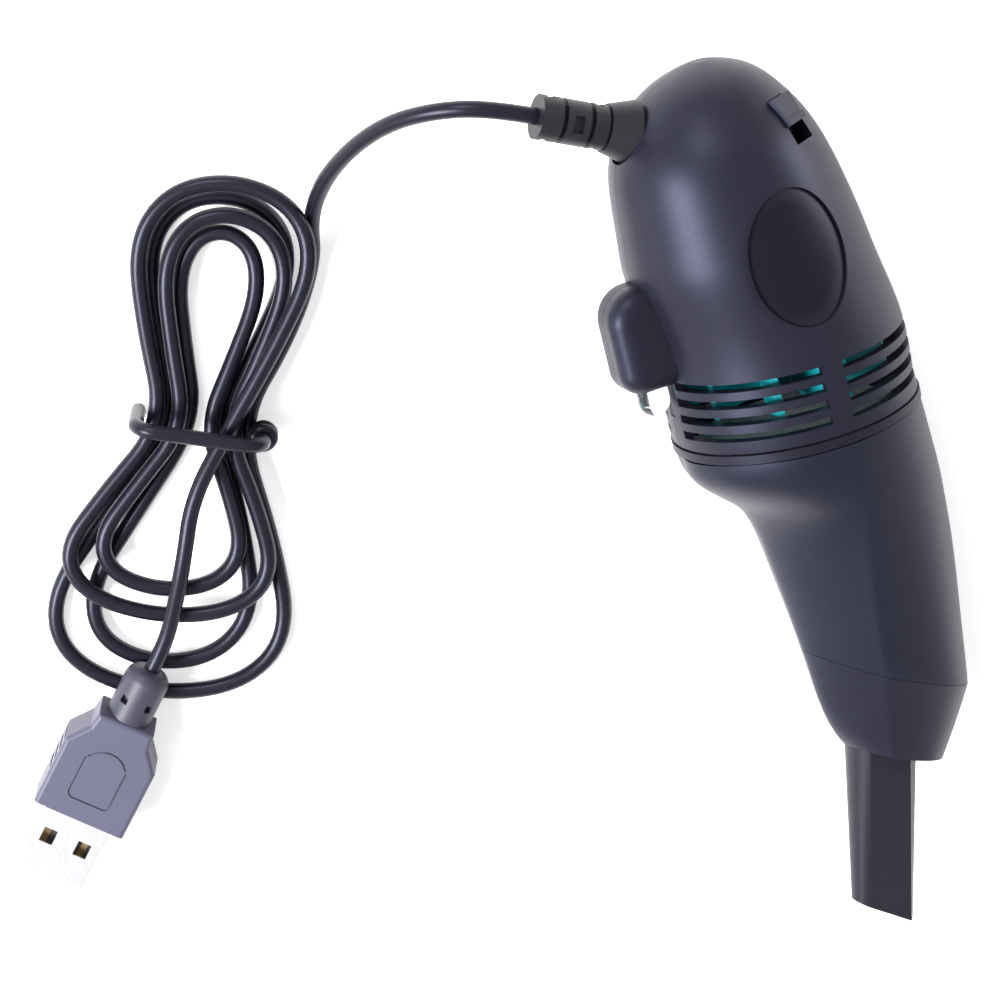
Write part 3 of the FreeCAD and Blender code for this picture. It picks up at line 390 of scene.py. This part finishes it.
# Moulded PVC of the plug, a greyer blue than the body.
PLUG_PVC = Finish(
    "plug_moulded_pvc", Surface.MOULDED, "#525165", "#4b4a5d", 0.47, 0.25, 0.16, specular=0.36,
)
# The same PVC at the plug's relief, darker between its windows.
RELIEF_PVC = Finish(
    "relief_moulded_pvc", Surface.MOULDED, "#3a3a49", "#343443", 0.45, 0.25, 0.14, specular=0.34,
)
# Bright nickel plate on the plug's shell.
SHELL_NICKEL = Finish("shell_nickel_plate", Surface.PLATED, "#ececef", "#e6e6ea", 0.28, 0.3, 0.02, 1.0)
# Black nylon of the plug's tongue.
TONGUE_NYLON = Finish("tongue_black_nylon", Surface.MOULDED, "#3c3638", "#353032", 0.5, 0.4, 0.05)
# Gold flash on the plug's contacts.
CONTACT_GOLD = Finish("contact_gold_flash", Surface.PLATED, "#a68c66", "#9a815c", 0.35, 0.4, 0.04, 1.0)
# White needled felt of the filter.
FILTER_FELT = Finish("filter_white_felt", Surface.FELT, "#e8e8e4", "#dcdcd6", 0.9, 0.3, 0.6)

NODE_FINISHES = {
    "housing_upper": HOUSING_ABS,
    "housing_lower": HOUSING_ABS,
    "housing_screws": ZINC_STEEL,
    "motor_can": CAN_STEEL,
    "motor_end_cap": CAP_NYLON,
    "motor_terminals": TAB_BRASS,
    "motor_rotor": ZINC_STEEL,
    "motor_plate": INNER_ABS,
    "fan": FAN_TEAL,
    "lamp": CLEAR_EPOXY,
    "lamp_leads": ZINC_STEEL,
    "lamp_resistor": RESISTOR_LACQUER,
    "switch_slider": SLIDER_ABS,
    "switch_body": SWITCH_NYLON,
    "switch_terminals": TAB_BRASS,
    "cord_gland": GLAND_PVC,
    "power_wires": WIRE_PVC,
    "filter_frame": LIP_ABS,
    "filter_pad": FILTER_FELT,
    "dust_cup": CUP_ABS,
    "nozzle_cap": CAP_ABS,
    "crevice_tube": TUBE_ABS,
    "plug_overmold": PLUG_PVC,
    "plug_relief": RELIEF_PVC,
    "plug_shell": SHELL_NICKEL,
    "plug_tongue": TONGUE_NYLON,
    "plug_contacts": CONTACT_GOLD,
    "hank_tie": CORD_PVC,
}


class Workshop:
    """Builds each material once and hands it out by finish."""

    def __init__(self) -> None:
        """Start with no materials."""
        self.made: dict[str, bpy.types.Material] = {}

    def material(self, finish: Finish) -> bpy.types.Material:
        """Return the material of a finish, building it the first time."""
        if finish.name not in self.made:
            self.made[finish.name] = finish.build()
        return self.made[finish.name]

    def dress(self, obj: bpy.types.Object, finish: Finish) -> None:
        """Give an object one finish in all its slots."""
        obj.data.materials.clear()
        obj.data.materials.append(self.material(finish))


@dataclass
class CordRoute:
    """The whole cord: out of the gland, round the loops, and to the plug.

    Attributes:
        diameter: the cord's diameter in millimetres.
        strand_gap: clear distance between strands at the waist.
        floor_gap: clear distance under the lowest strand.
        waist: centre of the waist of the loops.
        heading_deg: direction of the loops' long axis.
        turns: number of loops.
        points_per_turn: control points in one loop.
        first_point: the loops' first control point, counted from the start of a turn.
        inner_share: place of the innermost strand at the waist, in strand pitches.
        lower_end: turns after which the lower layer starts to climb.
        upper_start: turns after which the upper layer lies flat.
        cross_start: turns after which the last strand climbs over the others.
        cross_turns: turns that this climb takes.
        cross_shift: how far it moves inwards meanwhile, in strand pitches.
        lower_sizes: upper reach and width, lower reach and width of the lower layer, first and last.
        upper_sizes: the same for the upper layer.
        swing_ease: how softly the loops leave the waist.
        lower_lean: how far the lower ends lean to the left.
        gland_root: where the gland leaves the housing, in the body's own frame.
        gland_rise_deg: the gland's turn from the body's side.
        gland_length: length of the gland.
        exit_run: straight run of the cord out of the gland.
        lead: points from the gland to the loops.
        tail: points from the loops to the plug.
        plug_front: the front of the plug's moulding, on the floor.
        plug_heading_deg: the way that the plug points.
        plug_tilt_deg: how far its nose is tipped.
        plug_lift: clear distance under it.
        plug_length: length of its moulding.
        plug_height: height of its moulding.
        relief_length: length of its relief.
        relief_gap: clear distance between the relief's end and the cord's end.
        entry_run: straight run of the cord into the relief.
    """

    diameter: float = CORD_DIAMETER
    strand_gap: float = 0.63
    floor_gap: float = 0.05
    waist: Vector = field(default_factory=lambda: Vector((-91.0, 18.4, 0)))
    heading_deg: float = 67.0
    turns: int = 4
    points_per_turn: int = 16
    first_point: int = -1
    inner_share: float = 0.25
    lower_end: float = 1.5
    upper_start: float = 2.0
    cross_start: float = 3.55
    cross_turns: float = 0.33
    cross_shift: float = 0.55
    lower_sizes: tuple = ((41.5, 30.5), (25.0, 11.0), (48.5, 38.0), (38.0, 20.0))
    upper_sizes: tuple = ((31.0, 42.0), (11.5, 25.0), (27.0, 36.0), (21.0, 35.0))
    swing_ease: float = 0.3
    lower_lean: float = 2.6
    gland_root: Vector = field(default_factory=lambda: Vector((-16.6049, 51.6, 0)))
    gland_rise_deg: float = 25.5
    gland_length: float = 14.4
    exit_run: float = 7.5
    lead: tuple = (
        (-42.4, 62.3, 27.6),
        (-49.8, 61.4, 22.4),
        (-56.8, 57.8, 16.4),
        (-62.5, 52.4, 9.8),
        (-65.8, 46.2, 4.6),
        (-67.0, 39.0, 1.6),
    )
    tail: tuple = (
        (-95.0, 8.4, 8.7),
        (-99.0, -1.2, 8.8),
        (-102.3, -8.0, 7.7),
    )
    plug_front: Vector = field(default_factory=lambda: Vector((-127.15, -39.6, 0)))
    plug_heading_deg: float = 229.5
    plug_tilt_deg: float = 4.0
    plug_lift: float = 0.15
    plug_length: float = 19.0
    plug_height: float = 8.0
    relief_length: float = 9.1
    relief_gap: float = 0.02
    entry_run: float = 5.5

    def loop_shape(self, turn: float) -> tuple[float, float, float, float, float, float]:
        """Give the loops' sizes at this many turns from their start.

        Args:
            turn: turns from the start.

        Returns:
            Waist place, height, upper reach and width, lower reach and width.
        """
        pitch = self.diameter + self.strand_gap
        low = self.diameter / 2 + self.floor_gap
        if turn < self.lower_end:
            waist, level = pitch * (self.inner_share + self.lower_end - turn), low
        elif turn < self.upper_start:
            climb = (turn - self.lower_end) / (self.upper_start - self.lower_end)
            waist, level = pitch * self.inner_share, low + pitch * climb
        elif turn < self.cross_start:
            waist, level = pitch * (self.inner_share + turn - self.upper_start), low + pitch
        else:
            share = min((turn - self.cross_start) / self.cross_turns, 1.0)
            outer = self.inner_share + self.cross_start - self.upper_start
            waist, level = pitch * (outer - self.cross_shift * share), low + pitch * (1 + share)
        on_top = turn >= self.upper_start
        ends = self.upper_sizes if on_top else self.lower_sizes
        share = (turn - self.upper_start * on_top) / self.upper_start
        sizes = [start + (end - start) * share for start, end in ends]
        return (waist, level, *sizes)

    def loop_point(self, turn: float) -> Vector:
        """Give a point of the loops: down the right side, round below, up the left."""
        waist, level, up_reach, up_width, down_reach, down_width = self.loop_shape(turn)
        angle = 2 * math.pi * turn
        swing = math.sin(angle)
        below = swing > 0
        reach = down_reach if below else up_reach
        width = down_width if below else up_width
        bulge = swing * swing / (abs(swing) + self.swing_ease) * (1 + self.swing_ease)
        across = math.cos(angle) * (waist + width * bulge)
        lean = -self.lower_lean * swing * swing if below else 0.0
        heading = math.radians(self.heading_deg)
        up = Vector((math.cos(heading), math.sin(heading), 0))
        side = Vector((math.sin(heading), -math.cos(heading), 0))
        return self.waist + up * (-reach * swing) + side * (across + lean) + Vector((0, 0, level))

    def plug_turn(self) -> Matrix:
        """Give the turn from the plug's own axes, x from its front backwards."""
        tilt = Matrix.Rotation(math.radians(-self.plug_tilt_deg), 3, "Y")
        turn = Matrix.Rotation(math.radians(self.plug_heading_deg - 180), 3, "Z")
        return turn @ tilt

    def plug_point(self, point: Vector) -> Vector:
        """Place a point of the plug's own frame."""
        return self.plug_turn() @ point + self.plug_front + Vector((0, 0, self.plug_lift))

    def exit_point(self) -> Vector:
        """Give the point where the cord leaves the gland."""
        rise = math.radians(self.gland_rise_deg)
        out = Vector((-math.cos(rise), math.sin(rise), 0))
        return body_turn(self.gland_root + out * self.gland_length) + Vector((0, 0, AXIS_HEIGHT))

    def exit_heading(self) -> Vector:
        """Give the direction in which the cord leaves the gland."""
        rise = math.radians(self.gland_rise_deg)
        return body_turn(Vector((-math.cos(rise), math.sin(rise), 0)))

    def points(self) -> list[Vector]:
        """Give the control points of the whole cord, in the row frame, in metres."""
        start = self.exit_point()
        route = [start, start + self.exit_heading() * self.exit_run]
        route += [Vector(p) for p in self.lead]
        last = self.turns * self.points_per_turn
        route += [self.loop_point(i / self.points_per_turn) for i in range(self.first_point, last + 1)]
        route += [Vector(p) for p in self.tail]
        reach = self.plug_length + self.relief_length + self.relief_gap
        entry = self.plug_point(Vector((reach, 0, self.plug_height / 2)))
        back = self.plug_turn() @ Vector((1, 0, 0))
        route += [entry + back * self.entry_run, entry]
        return [(p + DRAWN_ORIGIN) * MM for p in route]

    def build(self, shop: Workshop) -> bpy.types.Object:
        """Make the cord as one smooth curve.

        Args:
            shop: where its material comes from.

        Returns:
            The curve object.
        """
        curve = bpy.data.curves.new("power_cord", "CURVE")
        curve.dimensions = "3D"
        spline = curve.splines.new("NURBS")
        points = self.points()
        spline.points.add(len(points) - 1)
        for target, point in zip(spline.points, points):
            target.co = (*point, 1.0)
        spline.order_u = 3
        spline.use_endpoint_u = True
        spline.resolution_u = 8
        curve.bevel_depth = self.diameter / 2 * MM
        curve.bevel_resolution = 5
        curve.use_fill_caps = True
        cord = bpy.data.objects.new("power_cord", curve)
        bpy.context.scene.collection.objects.link(cord)
        curve.materials.append(shop.material(CORD_PVC))
        return cord


@dataclass(frozen=True)
class TieKnot:
    """Two wraps of the strap round its own leg, to the right of the loops.

    Attributes:
        leg_offset: distance of the leg from the waist's centre.
        wrap_radius: radius of a wrap's centre line.
        strand_radius: radius of the wrapped strand.
        heights: height of each wrap.
        tilt_deg: how far each wrap leans.
    """

    leg_offset: float = 10.07
    wrap_radius: float = 1.55
    strand_radius: float = 0.85
    heights: tuple = (4.3, 6.0)
    tilt_deg: float = 14.0

    def build(self, shop: Workshop, route: CordRoute) -> list[bpy.types.Object]:
        """Make the wraps.

        Args:
            shop: where their material comes from.
            route: the cord that the strap holds.

        Returns:
            The wraps as separate objects.
        """
        heading = math.radians(route.heading_deg)
        side = Vector((math.sin(heading), -math.cos(heading), 0))
        wraps = []
        for index, height in enumerate(self.heights):
            place = route.waist + side * self.leg_offset + Vector((0, 0, height)) + DRAWN_ORIGIN
            lean = math.radians(self.tilt_deg if index % 2 else -self.tilt_deg)
            bpy.ops.mesh.primitive_torus_add(
                major_segments=40, minor_segments=16,
                major_radius=self.wrap_radius * MM, minor_radius=self.strand_radius * MM,
                location=place * MM, rotation=(lean, lean / 2, 0),
            )
            wrap = bpy.context.object
            wrap.name = f"tie_wrap_{index + 1}"
            bake_place(wrap)
            bpy.ops.object.shade_smooth()
            shop.dress(wrap, CORD_PVC)
            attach(wrap, "vacuum_body")
            wraps.append(wrap)
        return wraps


@dataclass(frozen=True)
class PhotoCamera:
    """The camera above the vacuum, turned towards its head as in the photograph.

    Attributes:
        offset: its place from the drawn part's origin, in millimetres.
        right: the way that the picture's right side points.
        down: the way that the picture's lower side points.
        focal_pixels: focal length in pixels of the picture.
        frame_pixels: width of the picture.
        sensor_mm: width of the sensor.
        near: nearest distance that shows, in metres.
    """

    offset: tuple = (-44.351, 143.606, 475.522)
    right: tuple = (0.9695, -0.2357, 0.0675)
    down: tuple = (-0.2451, -0.9237, 0.2945)
    focal_pixels: float = 3072.0
    frame_pixels: float = 1000.0
    sensor_mm: float = 36.0
    near: float = 0.01

    def build(self) -> None:
        """Make the camera and look through it."""
        data = bpy.data.cameras.new("photo_camera")
        data.sensor_width = self.sensor_mm
        data.lens = self.focal_pixels / self.frame_pixels * self.sensor_mm
        data.clip_start = self.near
        camera = bpy.data.objects.new("photo_camera", data)
        right, down = Vector(self.right), Vector(self.down)
        turn = Matrix((right, -down, -right.cross(down))).transposed()
        place = (DRAWN_ORIGIN + Vector(self.offset)) * MM
        camera.matrix_world = Matrix.Translation(place) @ turn.to_4x4()
        bpy.context.scene.collection.objects.link(camera)
        bpy.context.scene.camera = camera


@dataclass(frozen=True)
class SoftLight:
    """One soft square light that points at a target.

    Attributes:
        name: the light's name.
        place: its position in metres.
        target: the point that it faces.
        width: its width in metres.
        power: its power in watts.
    """

    name: str
    place: tuple
    target: tuple
    width: float
    power: float

    def build(self) -> None:
        """Add the light."""
        data = bpy.data.lights.new(self.name, "AREA")
        data.size = self.width
        data.energy = self.power
        lamp = bpy.data.objects.new(self.name, data)
        lamp.location = self.place
        aim = Vector(self.target) - Vector(self.place)
        lamp.rotation_euler = aim.to_track_quat("-Z", "Y").to_euler()
        bpy.context.scene.collection.objects.link(lamp)


# The main light from the head's side, a filler from beyond the head, and a low rim light.
LIGHTS = (
    SoftLight("key", (-0.60, 0.05, 0.55), (-0.02, 0.0, 0.0), 0.32, 13.0),
    SoftLight("top", (-0.15, 0.70, 0.55), (-0.02, 0.0, 0.0), 0.25, 3.0),
    SoftLight("rim", (0.6, 0.15, 0.08), (0.02, 0.02, 0.02), 0.2, 2.0),
)
# Width of the floor and its height under the part, in metres.
FLOOR_WIDTH = 6.0
FLOOR_LEVEL = -0.0002
# Light that the floor adds where it is seen, and the world's strength where it lights.
FLOOR_LIFT = 0.55
WORLD_LIGHT = 0.45


def seen_directly(tree: bpy.types.NodeTree) -> bpy.types.NodeSocket:
    """Add nodes that tell rays that show the surroundings from rays that light the object.

    Args:
        tree: the node tree of the floor or the world.

    Returns:
        A value of 1 for camera, glossy and transmission rays and 0 for the others.
    """
    path = add_node(tree, "ShaderNodeLightPath")
    camera_or_glossy = add_node(
        tree, "ShaderNodeMath", {}, {0: path.outputs["Is Camera Ray"], 1: path.outputs["Is Glossy Ray"]},
        operation="MAXIMUM",
    )
    shown = add_node(
        tree, "ShaderNodeMath", {},
        {0: camera_or_glossy.outputs["Value"], 1: path.outputs["Is Transmission Ray"]},
        operation="MAXIMUM",
    )
    return shown.outputs["Value"]


def make_floor() -> None:
    """Add the pale floor, which shows near white and still takes shadows."""
    bpy.ops.mesh.primitive_plane_add(size=FLOOR_WIDTH, location=(0, 0, FLOOR_LEVEL))
    floor = bpy.context.object
    floor.name = "floor"
    material = bpy.data.materials.new("floor_white")
    material.use_nodes = True
    tree = material.node_tree
    shader = tree.nodes["Principled BSDF"]
    shader.inputs["Base Color"].default_value = linear("#f8f8f8")
    shader.inputs["Roughness"].default_value = 0.9
    shader.inputs["Specular IOR Level"].default_value = 0.2
    shader.inputs["Emission Color"].default_value = (1, 1, 1, 1)
    lift = add_node(
        tree, "ShaderNodeMath", {1: FLOOR_LIFT}, {0: seen_directly(tree)}, operation="MULTIPLY",
    )
    tree.links.new(lift.outputs["Value"], shader.inputs["Emission Strength"])
    floor.data.materials.append(material)
    bake_place(floor)


def make_world() -> None:
    """Surround the scene with plain light that shows white and lights the object softly."""
    world = bpy.data.worlds.new("studio")
    world.use_nodes = True
    bpy.context.scene.world = world
    tree = world.node_tree
    background = tree.nodes["Background"]
    background.inputs["Color"].default_value = (1, 1, 1, 1)
    strength = add_node(
        tree, "ShaderNodeMapRange",
        {"To Min": WORLD_LIGHT, "To Max": 1.0}, {"Value": seen_directly(tree)},
    )
    tree.links.new(strength.outputs["Result"], background.inputs["Strength"])


def dress_nodes(shop: Workshop) -> None:
    """Give each CAD node its finish."""
    for name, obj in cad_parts.items():
        finish = NODE_FINISHES.get(name)
        if finish:
            shop.dress(obj, finish)
            log.info("dressed %s in %s", name, finish.name)


def main() -> None:
    """Build the scene in order."""
    logging.basicConfig(level=logging.INFO, format="%(name)s %(message)s")
    bpy.context.scene.view_settings.view_transform = "Standard"
    shop = Workshop()
    PhotoCamera().build()
    route = CordRoute()
    cord = route.build(shop)
    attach(cord, "vacuum_body")
    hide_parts("cord_lead", "cord_hank", "cord_tail")
    on_cord = [
        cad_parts[n]
        for n in ("plug_overmold", "plug_relief", "plug_shell", "plug_tongue", "plug_contacts", "hank_tie")
    ]
    on_cord += TieKnot().build(shop, route)
    tuple(route.points()[0])
    make_floor()
    make_world()
    for light in LIGHTS:
        light.build()
    dress_nodes(shop)


if __name__ == "__main__":
    main()
